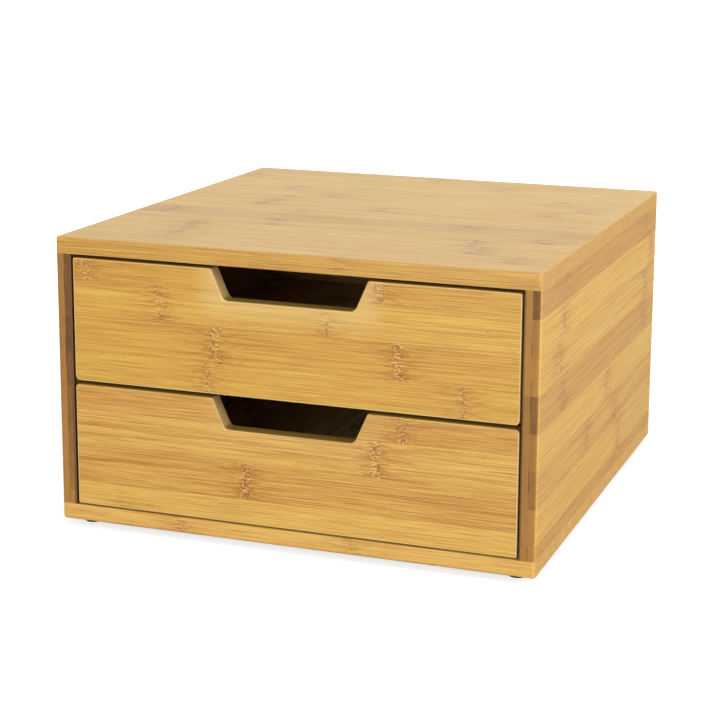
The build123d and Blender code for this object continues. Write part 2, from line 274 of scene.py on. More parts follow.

# Soft limits of noise, of places in a cell and of tones, in the same way
PALE_BUNDLE_LIMITS = (0.46, 0.38)
DARK_BUNDLE_LIMITS = (0.55, 0.61)
PINHOLE_RARITY = (0.84, 0.86)  # most cells stay below it and have no hole
PINHOLE_LIMITS = (0.055, 0.02)
CUT_BUNDLE_LIMITS = (0.6, 0.2)
TONE_LIMITS = (-0.1, 1.1)

# Soft limits of how squarely a surface faces an axis, in the same way
CUT_END_LIMITS = (0.6, 0.85)
NARROW_SIDE_LIMITS = (0.85, 0.55)
ROUNDING_BEGINS = (0.995, 0.96)
ROUNDING_ENDS = (0.55, 0.8)
UPWARD_LIMITS = (0.1, 0.3)

# How far fibres and knots bend, in millimetres
FIBRE_BEND = 1.0
KNOT_BEND_REACH = 3.4
KNOT_WAVER_REACH = 1.5
KNOT_FADE = 9.0  # along the grain, until a knot's halo has faded to about a third

# How dark or pale marks are, from 0 to 1. A pair gives it where its mask is 0 and where it is 1
STREAK_SHADE = (0.0, 0.09)
FINE_SHADE = (0.33, 0.48)
HAIR_SHADE = 0.5
HALO_SHADE = (0.1, 0.9)
GLUE_LINE_SHADE = (0.0, 0.6)
PALE_BUNDLE_SHADE = 0.36
DARK_BUNDLE_SHADE = 0.6
PINHOLE_SHADE = 0.55
PORE_SHADE = 0.6
DRIFT_TONE = (-0.14, 0.14)
CLOUD_TONE = (-0.32, 0.32)
CUT_BUNDLE_TONE = (-0.08, 0.24)
PLY_SEAM_TONE = 0.5

# Other shares, as pairs in the same way or by themselves
FIBRE_CONTRAST = (0.65, 1.35)  # from pale strips to dark ones
GRAIN_ROUGHNESS = (0.36, 0.50)  # from between the fibres to on them
CUTOUT_WEAR_AND_HIGHLIGHT = 0.25  # share of the pale edge line, wear and painted highlight, left inside a finger cut-out
CUTOUT_STAIN_AND_SHADE = 0.3  # share of the dark narrow sides, stain and painted shade, left on cut fibres inside a finger cut-out

# Height of marks as shares of the bump's depth: they are sunk below 0
FINE_HEIGHT = -0.25
HAIR_HEIGHT = -0.15
PALE_BUNDLE_HEIGHT = 0.35
DARK_BUNDLE_HEIGHT = -0.45
GLUE_LINE_HEIGHT = -0.5
CUT_BUNDLE_HEIGHT = -1.0

# Shifts that keep one noise from repeating in the next strip, or another from following it
STRIP_SHIFT = 7.31
BUNDLE_SHIFT = 5.0

GRAIN_INPUTS = [
    ("Along", NUMBER, 0.0),
    ("Across", NUMBER, 0.0),
    ("Strip", NUMBER, 0.0),
    ("Glue Line", NUMBER, 0.0),
    ("Tone", NUMBER, 0.5),
    ("Knot A", NUMBER, -NO_KNOT),
    ("Knot B", NUMBER, -NO_KNOT),
    ("Knot Strength", NUMBER, 1.0),
    ("Dot Strength", NUMBER, 1.0),
    ("Seed", NUMBER, 0.0),
    ("Fibre Strength", NUMBER, 1.0),
    ("Fibre Length", NUMBER, 1.0),
    ("Pale", COLOUR, PALE_BAMBOO),
    ("Deep", COLOUR, DEEP_BAMBOO),
    ("Fibre", COLOUR, FIBRE_BROWN),
]


def strip_layout_group():
    """Divides a board into strips: which strip a point is in, and how near it is to a glue line."""
    wiring, given, result = new_group(
        "strip layout",
        [("Across", NUMBER, 0.0), ("First Edge", NUMBER, 0.0), ("Strip Width", NUMBER, STRIP_WIDTH)],
        [("Strip", NUMBER), ("Glue Line", NUMBER)],
    )
    from_first = wiring.less(given["Across"], given["First Edge"])
    place = wiring.math("DIVIDE", from_first, given["Strip Width"])
    half_strip = 0.5
    to_middle = wiring.size_of(wiring.less(wiring.math("FRACT", place), half_strip))
    to_edge = wiring.times(wiring.less(half_strip, to_middle), given["Strip Width"])
    wiring.feed(result["Strip"], wiring.math("FLOOR", place))
    wiring.feed(result["Glue Line"], wiring.step(to_edge, *GLUE_LINE_LIMITS))
    return wiring.tree


def board_faces_group():
    """Tells a board's cut ends, its narrow sides and its rounded edges apart by their normal."""
    wiring, given, result = new_group(
        "board faces",
        [
            ("Grain Facing", NUMBER, 0.0),
            ("Thickness Facing", NUMBER, 1.0),
            ("Width Facing", NUMBER, 0.0),
            ("Upper Edge", NUMBER, 1.0),
        ],
        [("Cut End", NUMBER), ("Narrow Side", NUMBER), ("Rounded Edge", NUMBER)],
    )
    flat = wiring.size_of(given["Thickness Facing"])
    rounded = wiring.times(wiring.step(flat, *ROUNDING_BEGINS), wiring.step(flat, *ROUNDING_ENDS))
    # Upper Edge sets how much of the pale edge line, wear and painted highlight, an upward-facing rounded
    # edge takes
    upward = wiring.step(given["Width Facing"], *UPWARD_LIMITS)
    rounded = wiring.times(rounded, wiring.between(upward, 1.0, given["Upper Edge"]))
    cut = wiring.step(wiring.size_of(given["Grain Facing"]), *CUT_END_LIMITS)
    wiring.feed(result["Cut End"], cut)
    wiring.feed(result["Narrow Side"], wiring.step(flat, *NARROW_SIDE_LIMITS))
    wiring.feed(result["Rounded Edge"], rounded)
    return wiring.tree


def knot_group():
    """The node of a bamboo strip: a wavy band, and a soft halo that fades along the grain."""
    wiring, given, result = new_group(
        "bamboo knot",
        [("Along", NUMBER, 0.0), ("Across", NUMBER, 0.0), ("Lane", NUMBER, 0.0), ("Place", NUMBER, 0.0)],
        [("Band", NUMBER), ("Halo", NUMBER)],
    )
    bend = wiring.marks(0.0, given["Across"], given["Lane"], KNOT_BEND)
    waver = wiring.marks(0.0, given["Across"], given["Lane"], KNOT_WAVER)
    place = wiring.add(
        given["Place"],
        wiring.spread(bend, -KNOT_BEND_REACH, KNOT_BEND_REACH),
        wiring.spread(waver, -KNOT_WAVER_REACH, KNOT_WAVER_REACH),
    )
    far = wiring.size_of(wiring.less(given["Along"], place))
    wiring.feed(result["Band"], wiring.step(far, *KNOT_LIMITS))
    wiring.feed(result["Halo"], wiring.math("EXPONENT", wiring.times(far, -1 / KNOT_FADE)))
    return wiring.tree


def nearer_knot(wiring, given):
    """The place of the nearer of a strip's two knots."""
    to_a = wiring.size_of(wiring.less(given["Along"], given["Knot A"]))
    to_b = wiring.size_of(wiring.less(given["Along"], given["Knot B"]))
    b_is_nearer = wiring.math("LESS_THAN", to_b, to_a)
    return wiring.between(b_is_nearer, given["Knot A"], given["Knot B"])


def bent_by_knots(wiring, given, run, lane, halo):
    """The place across the grain, bent: fibres run nearly straight, and swirl beside a knot."""
    across = given["Across"]
    wander = wiring.spread(wiring.marks(run, across, lane, WANDER), -FIBRE_BEND, FIBRE_BEND)
    swirl = wiring.spread(wiring.marks(given["Along"], across, lane, SWIRL), -FIBRE_BEND, FIBRE_BEND)
    return wiring.add(across, wander, wiring.times(halo, swirl))


def fibre_shade(wiring, run, bent, lane, fine, hair):
    """How dark the fibres are: streaks and fine fibres gather in crowds, hairs run all over."""
    crowd = wiring.soft_marks(run, bent, lane, CROWD)
    streak = wiring.soft_marks(run, bent, lane, STREAK)
    return wiring.add(
        wiring.times(streak, wiring.spread(crowd, *STREAK_SHADE)),
        wiring.times(fine, wiring.spread(crowd, *FINE_SHADE)),
        wiring.times(hair, HAIR_SHADE),
    )


def shaded_grain(wiring, given, drift, fibres, knot_shade):
    """Each strip's own tone, then the fibres, the halo of a knot and the glue lines over it."""
    tone = wiring.add(given["Tone"], wiring.spread(drift, *DRIFT_TONE))
    colour = wiring.mix(wiring.step(tone, *TONE_LIMITS), given["Pale"], given["Deep"])
    contrast = wiring.spread(given["Tone"], *FIBRE_CONTRAST)
    dark = wiring.add(
        wiring.times(fibres, contrast, given["Fibre Strength"]),
        knot_shade,
        wiring.times(given["Glue Line"], wiring.spread(drift, *GLUE_LINE_SHADE)),
    )
    return wiring.mix(wiring.math("MINIMUM", dark, 1.0), colour, given["Fibre"])


def knot_bundles(wiring, along, bent, lane, band):
    """Fibre bundles that a knot's band cuts through, as masks of the pale ones and the dark ones."""
    noise = wiring.marks(along, bent, wiring.add(lane, BUNDLE_SHIFT), BUNDLE, detail=0.0)
    pale = wiring.times(band, wiring.step(noise, *PALE_BUNDLE_LIMITS))
    dark = wiring.times(band, wiring.step(noise, *DARK_BUNDLE_LIMITS))
    return pale, dark


def pinholes(wiring, given, lane):
    """A few pinholes: most cells have none."""
    cell = wiring.cells(given["Along"], given["Across"], lane, PINHOLE_CELL)
    has_hole = wiring.step(wiring.split(cell["Color"])[0], *PINHOLE_RARITY)
    return wiring.times(has_hole, wiring.step(cell["Distance"], *PINHOLE_LIMITS))


def grain_group(knot):
    """Long grain of a bamboo board: strips of their own tone, thin fibres, knots and glue lines."""
    outputs = [("Color", COLOUR), ("Roughness", NUMBER), ("Height", NUMBER)]
    wiring, given, result = new_group("bamboo long grain", GRAIN_INPUTS, outputs)
    along = given["Along"]
    lane = wiring.add(wiring.times(given["Strip"], STRIP_SHIFT), given["Seed"])
    place = nearer_knot(wiring, given)
    knots = wiring.group(knot, Along=along, Across=given["Across"], Lane=lane, Place=place)
    band = wiring.times(knots["Band"], given["Knot Strength"], given["Dot Strength"])
    halo = wiring.times(knots["Halo"], given["Knot Strength"])

    run = wiring.math("DIVIDE", along, given["Fibre Length"])
    bent = bent_by_knots(wiring, given, run, lane, halo)
    drift = wiring.marks(run, bent, lane, DRIFT)
    fine = wiring.soft_marks(run, bent, lane, FINE)
    hair = wiring.soft_marks(run, bent, lane, HAIR)
    short = wiring.soft_marks(along, bent, lane, SHORT)

    fibres = fibre_shade(wiring, run, bent, lane, fine, hair)
    knot_shade = wiring.times(halo, wiring.spread(short, *HALO_SHADE))
    pale_dots, dark_dots = knot_bundles(wiring, along, bent, lane, band)
    holes = pinholes(wiring, given, lane)
    colour = shaded_grain(wiring, given, drift, fibres, knot_shade)
    colour = wiring.mix(wiring.times(pale_dots, PALE_BUNDLE_SHADE), colour, PALE_BUNDLE)
    colour = wiring.mix(wiring.times(dark_dots, DARK_BUNDLE_SHADE), colour, DARK_BUNDLE)
    colour = wiring.mix(wiring.times(holes, PINHOLE_SHADE), colour, DARK_BUNDLE)

    height = wiring.add(
        wiring.times(fine, FINE_HEIGHT),
        wiring.times(hair, HAIR_HEIGHT),
        wiring.times(pale_dots, PALE_BUNDLE_HEIGHT),
        wiring.times(dark_dots, DARK_BUNDLE_HEIGHT),
        wiring.times(given["Glue Line"], GLUE_LINE_HEIGHT),
    )
    wiring.feed(result["Color"], colour)
    wiring.feed(result["Roughness"], wiring.spread(fine, *GRAIN_ROUGHNESS))
    wiring.feed(result["Height"], height)
    return wiring.tree


def end_grain_group():
    """Cut end of the strips: brown, with fine dots where the fibre bundles are cut across."""
    wiring, given, result = new_group(
        "bamboo end grain",
        [
            ("Across", NUMBER, 0.0),
            ("Depth", NUMBER, 0.0),
            ("Tone", NUMBER, 0.5),
            ("Seed", NUMBER, 0.0),
            ("Mottle", NUMBER, 1.0),
            ("Pale", COLOUR, PALE_END),
            ("Deep", COLOUR, DEEP_END),
        ],
        [("Color", COLOUR), ("Height", NUMBER)],
    )
    across, depth, seed = given["Across"], given["Depth"], given["Seed"]
    cloud = wiring.marks(depth, across, seed, END_CLOUD, detail=3.0)
    bundle = wiring.cells(depth, across, seed, CUT_BUNDLE_CELL)
    dot = wiring.step(bundle["Distance"], *CUT_BUNDLE_LIMITS)
    dots = wiring.times(dot, wiring.split(bundle["Color"])[1])
    uneven = wiring.add(wiring.spread(cloud, *CLOUD_TONE), wiring.spread(dots, *CUT_BUNDLE_TONE))

    # Where the two plies meet, the glue line shows dark in some strips
    at_seam = wiring.step(wiring.size_of(depth), *PLY_SEAM_LIMITS)
    seam = wiring.times(at_seam, wiring.soft_marks(depth, across, seed, OPEN_SEAM))
    tone = wiring.add(
        given["Tone"],
        wiring.times(uneven, given["Mottle"]),
        wiring.times(seam, PLY_SEAM_TONE),
    )
    colour = wiring.mix(wiring.step(tone, *TONE_LIMITS), given["Pale"], given["Deep"])
    wiring.feed(result["Color"], colour)
    wiring.feed(result["Height"], wiring.times(dots, CUT_BUNDLE_HEIGHT))
    return wiring.tree


def mottle_group():
    """Soft patches of one size, with fine grit on top, for rubber, metal and turned wood."""
    wiring, given, result = new_group(
        "mottle",
        [("Position", VECTOR, (0.0, 0.0, 0.0)), ("Patch", NUMBER, 3.0), ("Grit", NUMBER, 0.3)],
        [("Patches", NUMBER), ("Grit", NUMBER)],
    )
    for size, output in (("Patch", "Patches"), ("Grit", "Grit")):
        scaled = wiring.node("ShaderNodeVectorMath", operation="SCALE")
        wiring.feed(scaled.inputs[0], given["Position"])
        wiring.feed(scaled.inputs["Scale"], wiring.math("DIVIDE", 1.0, given[size]))
        wiring.feed(result[output], wiring.noise(scaled.outputs[0]))
    return wiring.tree


strip_layout = strip_layout_group()
board_faces = board_faces_group()
long_grain = grain_group(knot_group())
end_grain = end_grain_group()
mottle = mottle_group()


def strip_table(wiring, strip, rows):
    """Four numbers for each strip, read from a colour ramp with one step for each row, over and over."""
    ramp_node = wiring.node("ShaderNodeValToRGB")
    ramp = ramp_node.color_ramp
    ramp.interpolation = "CONSTANT"
    for number, row in enumerate(rows):
        stop = ramp.elements[0] if number == 0 else ramp.elements.new(number / len(rows))
        stop.color = row
    ramp.elements.remove(ramp.elements[-1])
    half_row = 0.5
    row_number = wiring.math("WRAP", wiring.add(strip, half_row), len(rows), 0.0)
    wiring.feed(ramp_node.inputs[0], wiring.times(row_number, 1 / len(rows)))
    return (*wiring.split(ramp_node.outputs["Color"]), ramp_node.outputs["Alpha"])


# Finish of a board that says nothing else. A board may also give side_fibre_strength, ply_line,
# the painted shade at a side board's front end, and for a drawer front cutout, cutout_floor and the
# paling near it
PLAIN_FINISH = {
    "fibre_strength": 1.0,
    "fibre_length": 1.0,
    "dot_strength": 1.0,
    "pale": PALE_BAMBOO,
    "deep": DEEP_BAMBOO,
    "fibre": FIBRE_BROWN,
    "end_tones": [(0.4, 0.4)],
    "end_mottle": 1.0,
    "end_pale": PALE_END,
    "end_deep": DEEP_END,
    # Narrow sides go darker: a stain, and on the drawer fronts also painted shade in the gaps. Rounded
    # edges change colour: wear, and on the drawer fronts also a painted highlight
    "side_stain": 0.0,
    "stain": SAWN_AND_SHADED_BAMBOO,
    "edge_wear": 0.05,
    "worn": WORN_EDGE_AND_HIGHLIGHT,
    "upper_edge": 1.0,
    "gloss": 0.5,
    "varnish": 0.08,
}
COAT_ROUGHNESS = 0.2
CUT_ROUGHNESS = 0.75
GRAIN_BUMP = 0.3
GRAIN_DEPTH = 0.2  # millimetres


def board_surface(wiring, position, normal, grain, thick, face, upper_edge):
    """Where a point of a board is, in millimetres, and which kind of face it is on."""
    place = wiring.axes(position)
    facing = wiring.axes(normal)
    wide = next(axis for axis in "XYZ" if axis not in (grain, thick))
    kinds = wiring.group(
        board_faces,
        Grain_Facing=facing[grain],
        Thickness_Facing=facing[thick],
        Width_Facing=facing[wide],
        Upper_Edge=upper_edge,
    )
    return SimpleNamespace(
        place=place,
        on_grain=place[grain],
        on_width=place[wide],
        on_thickness=place[thick],
        from_face=wiring.less(place[thick], face),
        along=wiring.less(place[grain], case_left if grain == "X" else case_front),
        cut=kinds["Cut End"],
        side=kinds["Narrow Side"],
        rounded=kinds["Rounded Edge"],
    )


def long_grain_side(wiring, board, strips, sizes, seed, finish):
    """The grain of a board's faces. A knot's place is kept in metres in the table, to stay under 1."""
    rows = [(tone, knot_a / MM, knot_b / MM, strength) for tone, strength, knot_a, knot_b in strips]
    # A strip's edge turns over the board's rounded edge without a break
    across = wiring.add(board.on_width, board.from_face)
    divided = wiring.group(strip_layout, Across=across, **sizes)
    tone, knot_a, knot_b, strength = strip_table(wiring, divided["Strip"], rows)
    on_face = finish["fibre_strength"]
    on_side = finish.get("side_fibre_strength", on_face)
    return wiring.group(
        long_grain,
        Along=board.along,
        Across=across,
        Strip=divided["Strip"],
        Glue_Line=divided["Glue Line"],
        Tone=tone,
        Knot_A=wiring.times(knot_a, MM),
        Knot_B=wiring.times(knot_b, MM),
        Knot_Strength=strength,
        Dot_Strength=finish["dot_strength"],
        Seed=seed,
        Fibre_Strength=wiring.between(board.side, on_face, on_side),
        Fibre_Length=finish["fibre_length"],
        Pale=finish["pale"],
        Deep=finish["deep"],
        Fibre=finish["fibre"],
    )


def cut_end_side(wiring, board, sizes, seed, finish, ply_line):
    """The cut ends of a board of two plies, which meet at ply_line."""
    rows = [(first, second, 0.0, 1.0) for first, second in finish["end_tones"]]
    divided = wiring.group(strip_layout, Across=board.on_width, **sizes)
    first_ply, second_ply, _, _ = strip_table(wiring, divided["Strip"], rows)
    depth = wiring.less(board.on_thickness, ply_line)
    return wiring.group(
        end_grain,
        Across=board.on_width,
        Depth=depth,
        Tone=wiring.between(wiring.math("GREATER_THAN", depth, 0.0), first_ply, second_ply),
        Seed=seed,
        Mottle=finish["end_mottle"],
        Pale=finish["end_pale"],
        Deep=finish["end_deep"],
    )


def cutout_paling_zone(wiring, place, floor):
    """1 at the finger cut-out of a drawer front, fading to 0 some way below it and beside it."""
    beside = wiring.math("MAXIMUM", wiring.less(wiring.size_of(place["X"]), CUTOUT_HALF), 0.0)
    below = wiring.math("MAXIMUM", wiring.less(floor, place["Z"]), 0.0)
    far = wiring.math("SQRT", wiring.add(wiring.times(beside, beside), wiring.times(below, below)))
    return wiring.step(far, *CUTOUT_PALING_LIMITS)


def inside_cutout(wiring, board, half_width, lowest):
    """1 in the box that holds a drawer front's finger cut-out, 0 outside it."""
    in_width = wiring.math("LESS_THAN", wiring.size_of(board.on_grain), half_width)
    return wiring.times(in_width, wiring.math("GREATER_THAN", board.on_width, lowest))


def opening_shade(wiring, board, reach):
    """Painted shade at a side board's front end, running a little way round onto its inner face, where
    the gap beside a drawer front lies in shadow.
    """
    inner_face = wiring.step(wiring.size_of(board.from_face), *INNER_FACE_LIMITS)
    return wiring.times(inner_face, wiring.step(board.along, reach, OPENING_SHADE_FULL))


def stained_and_worn(wiring, board, colour, finish):
    """Darkens narrow sides (a stain, and painted shade in the gaps round the drawer fronts) and a side
    board's front end (painted shade), and colours rounded edges (wear, and a painted highlight on the
    drawer fronts).
    """
    # Narrow sides: a stain, and on the drawer fronts painted shade in the gaps and cut-out cheeks
    stain = wiring.times(board.side, finish["side_stain"])
    # Rounded edges: wear, and on the drawer fronts a painted highlight
    wear = wiring.times(board.rounded, finish["edge_wear"])
    if "cutout" in finish:
        # The face turns paler toward the finger cut-out
        zone = cutout_paling_zone(wiring, board.place, finish["cutout_floor"])
        colour = wiring.mix(wiring.times(zone, finish["sanded"]), colour, PALE_NEAR_CUTOUT)
        inside = inside_cutout(wiring, board, *finish["cutout"])
        wear = wiring.times(wear, wiring.spread(inside, 1.0, CUTOUT_WEAR_AND_HIGHLIGHT))
        stain = wiring.times(stain, wiring.spread(wiring.times(inside, board.cut), 1.0, CUTOUT_STAIN_AND_SHADE))
    # Side boards: painted shade on the inner face near the front, where the gap beside a drawer front
    # lies in shadow, in place of the narrow-side darkening
    if "opening_shade" in finish:
        stain = opening_shade(wiring, board, finish["opening_shade"])
    colour = wiring.mix(stain, colour, finish["stain"])
    return wiring.mix(wear, colour, finish["worn"])


def bamboo(name, grain, thick, face, strips, first_edge, seed, strip_width=STRIP_WIDTH, **own_finish):
    """Varnished bamboo board, its strips laid along the grain axis, its thickness along the thick axis.

    face is the place of the face that shows most, and first_edge is the place of the first strip's
    edge on that face. Each strip is (tone, knot strength, knot, knot): a knot's place is in
    millimetres from the board's left or front end. end_tones gives the tones of each strip's first
    and second ply where they are cut across, and ply_line is where the two plies meet.
    """
    finish = {**PLAIN_FINISH, **own_finish}
    sizes = {"First_Edge": first_edge, "Strip_Width": strip_width}
    material, wiring, shader, position, normal = new_material(name)
    board = board_surface(wiring, position, normal, grain, thick, face, finish["upper_edge"])
    long_side = long_grain_side(wiring, board, strips, sizes, seed, finish)
    end_side = cut_end_side(wiring, board, sizes, seed, finish, finish.get("ply_line", face))

    colour = wiring.mix(board.cut, long_side["Color"], end_side["Color"])
    colour = stained_and_worn(wiring, board, colour, finish)
    roughness = wiring.math("MAXIMUM", long_side["Roughness"], wiring.times(board.cut, CUT_ROUGHNESS))
    height = wiring.add(long_side["Height"], wiring.times(board.cut, end_side["Height"]))
    wiring.feed(shader.inputs["Base Color"], colour)
    wiring.feed(shader.inputs["Roughness"], roughness)
    wiring.feed(shader.inputs["Normal"], wiring.bump(height, GRAIN_BUMP, GRAIN_DEPTH))
    shader.inputs["Specular IOR Level"].default_value = finish["gloss"]
    shader.inputs["Coat Weight"].default_value = finish["varnish"]
    shader.inputs["Coat Roughness"].default_value = COAT_ROUGHNESS
    return material


# Strips of each board, from its first edge on: tone, knot strength, places of up to two knots
TOP_STRIPS = [
    (0.50, 0.4, 129, NO_KNOT),
    (0.45, 0.4, 183, NO_KNOT),
    (0.50, 0.6, 60, 278),
    (0.45, 1.0, 60, 250),
    (0.40, 1.0, 58, 240),
    (0.50, 0.9, 100, 277),
    (0.80, 1.0, 20, 222),
    (0.40, 0.5, 103, 275),
    (0.35, 0.8, 65, 148),
    (0.40, 0.7, 70, 255),
    (0.35, 0.7, 100, 273),
    (0.40, 0.6, 62, 253),
    (0.30, 0.3, 115, 212),
    (0.35, 0.6, 10, 200),
    (0.40, 0.5, 145, NO_KNOT),
    (0.45, 0.5, 90, 260),
]
SIDE_STRIPS = [
    (0.85, 0.7, 195, NO_KNOT),
    (0.40, 0.7, 205, NO_KNOT),
    (0.55, 0.8, 192, 115),
    (0.30, 0.7, 168, NO_KNOT),
    (0.70, 0.9, 54, 275),
    (0.36, 0.8, 42, 275),
    (0.26, 0.8, 53, 293),
    (0.82, 0.9, 52, 272),
]
UPPER_FRONT_STRIPS = [
    (0.36, 0.7, 98, 256),
    (0.50, 1.0, 105, 218),
    (0.30, 0.7, 68, 172),
    (0.56, 1.0, 20, 206),
]
LOWER_FRONT_STRIPS = [
    (0.06, 0.2, 40, NO_KNOT),
    (0.48, 1.0, 122, NO_KNOT),
    (0.28, 1.0, 204, NO_KNOT),
    (0.58, 1.0, 220, NO_KNOT),
]
PLAIN_STRIPS = [
    (0.40, 0.8, 60, 240),
    (0.55, 0.8, 130, NO_KNOT),
    (0.30, 0.8, 30, 200),
    (0.65, 0.8, 95, 275),
    (0.45, 0.8, 160, NO_KNOT),
    (0.35, 0.8, 75, 250),
    (0.60, 0.8, 15, 190),
    (0.40, 0.8, 120, NO_KNOT),
]
BOTTOM_STRIPS = [(0.05, 0.5, 80, 190)] + 2 * PLAIN_STRIPS

# Cut ends, from the lowest strip up: tone of the first ply, tone of the second ply
LEFT_END_TONES = [
    (0.08, 0.10),
    (0.10, 0.45),
    (0.12, 0.52),
    (0.20, 0.62),
    (0.27, 0.72),
    (0.30, 0.85),
    (0.26, 0.76),
    (0.32, 0.76),
]
RIGHT_END_TONES = [
    (0.22, 0.08),
    (0.22, 0.14),
    (0.27, 0.46),
    (0.30, 0.32),
    (0.34, 0.64),
    (0.12, 0.18),
    (0.15, 0.32),
    (0.18, 0.76),
]

# Finishes that several boards share
inner = {
    "fibre_strength": 0.7,
    "dot_strength": 0.7,
    "gloss": 0.3,
    "varnish": 0.0,
    "pale": srgb(232, 206, 158),
    "deep": srgb(212, 180, 130),
}
pale_ends = {"end_pale": srgb(204, 164, 90), "end_deep": srgb(156, 110, 48), "end_mottle": 0.9}
front_edges = {
    # A pale line on the rounded edges, partly wear and partly a painted highlight
    "edge_wear": 0.65,
    # Narrow sides darkened, partly as painted shade in the gaps round the drawer fronts
    "side_stain": 0.75,
    "end_tones": [(0.1, 0.1)],
    "end_pale": srgb(204, 163, 103),
    "end_deep": srgb(150, 108, 60),
}
side_grain = {
    "fibre_length": 1.4,
    "fibre_strength": 0.8,
    "end_mottle": 0.5,
    "gloss": 0.55,
    # Painted shade at the front of the inner face, in the dark brown below, for the shadowed gaps beside
    # the drawers
    "opening_shade": 6.0,
    "stain": srgb(96, 62, 26),
    "pale": srgb(219, 177, 76),
    "deep": srgb(186, 139, 58),
}


def dress(node_name, material):
    """Gives a CAD node one material."""
    mesh = nodes[node_name].data
    mesh.materials.clear()
    mesh.materials.append(material)


def dress_case():
    top = bamboo(
        "bamboo_top", "X", "Z", case_top, TOP_STRIPS, first_edge=-184.2, seed=3.0, strip_width=WIDE_STRIP,
        fibre_strength=0.5, side_fibre_strength=0.9, dot_strength=0.5, gloss=0.45,
        # The top's narrow sides take a light stain, and its rounded edges go darker, not paler
        side_stain=0.2, stain=srgb(174, 128, 68), edge_wear=0.35, worn=srgb(170, 130, 90),
        pale=srgb(220, 180, 83), deep=srgb(196, 149, 62), fibre=srgb(160, 102, 28), **pale_ends,
    )
    bottom = bamboo(
        "bamboo_bottom", "X", "Z", case_bottom, BOTTOM_STRIPS, first_edge=-160.0, seed=11.0, **pale_ends,
    )
    right = bamboo(
        "bamboo_right_side", "Y", "X", case_right, SIDE_STRIPS, first_edge=1.2, seed=17.0,
        ply_line=145.0, end_tones=RIGHT_END_TONES, **side_grain,
    )
    left = bamboo(
        "bamboo_left_side", "Y", "X", case_left, SIDE_STRIPS[::-1], first_edge=1.2, seed=29.0,
        ply_line=-144.6, end_tones=LEFT_END_TONES, **side_grain,
    )
    back = bamboo("bamboo_back", "X", "Y", back_panel_face, PLAIN_STRIPS, first_edge=4.0, seed=41.0)
    dress("top_panel", top)
    dress("bottom_panel", bottom)
    dress("right_side_panel", right)
    dress("left_side_panel", left)
    dress("back_panel", back)


def cutout_of(drawer):
    """The box round a front's finger cut-out, as half its width and its lowest place, and its floor."""
    low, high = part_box(f"{drawer}_drawer_front")
    return {
        "cutout": (CUTOUT_BOX_HALF, (low.z + high.z) / 2 * MM),
        "cutout_floor": high.z * MM - CUTOUT_DEPTH,
    }


def dress_drawer_fronts():
    upper = bamboo(
        "bamboo_upper_front", "X", "Y", drawer_front_face, UPPER_FRONT_STRIPS, first_edge=89.5, seed=53.0,
        upper_edge=0.5, fibre_strength=0.85, sanded=0.42,
        pale=srgb(217, 176, 76), deep=srgb(193, 143, 56), fibre=srgb(168, 110, 30),
        **cutout_of("upper"), **front_edges,
    )
    lower = bamboo(
        "bamboo_lower_front", "X", "Y", drawer_front_face, LOWER_FRONT_STRIPS, first_edge=7.6, seed=61.0,
        strip_width=WIDE_STRIP, upper_edge=0.0, fibre_strength=1.05, sanded=0.12,
        pale=srgb(221, 180, 88), deep=srgb(197, 146, 67), **cutout_of("lower"), **front_edges,
    )
    dress("upper_drawer_front", upper)
    dress("lower_drawer_front", lower)


def dress_inside():
    walls = bamboo(
        "bamboo_drawer_walls", "Y", "X", 0.0, PLAIN_STRIPS, first_edge=-160.0, seed=71.0, **inner,
    )
    backs = bamboo(
        "bamboo_drawer_backs", "X", "Y", 0.0, PLAIN_STRIPS, first_edge=100.0, seed=83.0, **inner,
    )
    floors = bamboo(
        "bamboo_drawer_floors", "Y", "Z", 0.0, PLAIN_STRIPS, first_edge=-140.0, seed=97.0, **inner,
    )
    for drawer in ("upper", "lower"):
        for side in ("left", "right"):
            dress(f"{drawer}_drawer_{side}_side", walls)
        dress(f"{drawer}_drawer_back", backs)
        dress(f"{drawer}_drawer_bottom", floors)
    for side in ("left", "right"):
        for rail in ("runner", "kicker"):
            dress(f"{side}_{rail}", walls)


# Colours of the small pieces
BLACK_RUBBER = srgb(22, 22, 22)
RUBBER_DUST = srgb(52, 51, 49)
BRIGHT_ZINC = srgb(205, 206, 206)
DULL_ZINC = srgb(176, 170, 152)
PALE_DOWEL = srgb(226, 200, 156)
DEEP_DOWEL = srgb(200, 166, 116)
PORE_BROWN = srgb(160, 118, 72)


def moulded_rubber():
    """Matt black rubber, a little dusty."""
    material, wiring, shader, position, _ = new_material("black_rubber")
    spots = wiring.group(mottle, Position=position, Patch=2.5, Grit=0.25)
    dust = wiring.step(spots["Patches"], low=0.45, high=0.75)
    wiring.feed(shader.inputs["Base Color"], wiring.mix(dust, BLACK_RUBBER, RUBBER_DUST))
    wiring.feed(shader.inputs["Roughness"], wiring.spread(spots["Patches"], low=0.55, high=0.85))
    wiring.feed(shader.inputs["Normal"], wiring.bump(spots["Grit"], strength=0.35, depth=0.1))
    return material


def zinc_steel():
    """Zinc-plated steel: bright, with duller yellowish patches."""
    material, wiring, shader, position, _ = new_material("zinc_steel")
    spots = wiring.group(mottle, Position=position, Patch=1.2, Grit=0.15)
    dull = wiring.step(spots["Patches"], low=0.4, high=0.65)
    wiring.feed(shader.inputs["Base Color"], wiring.mix(dull, BRIGHT_ZINC, DULL_ZINC))
    wiring.feed(shader.inputs["Roughness"], wiring.spread(dull, low=0.24, high=0.42))
    wiring.feed(shader.inputs["Normal"], wiring.bump(spots["Grit"], strength=0.15, depth=0.05))
    shader.inputs["Metallic"].default_value = 1.0
    return material


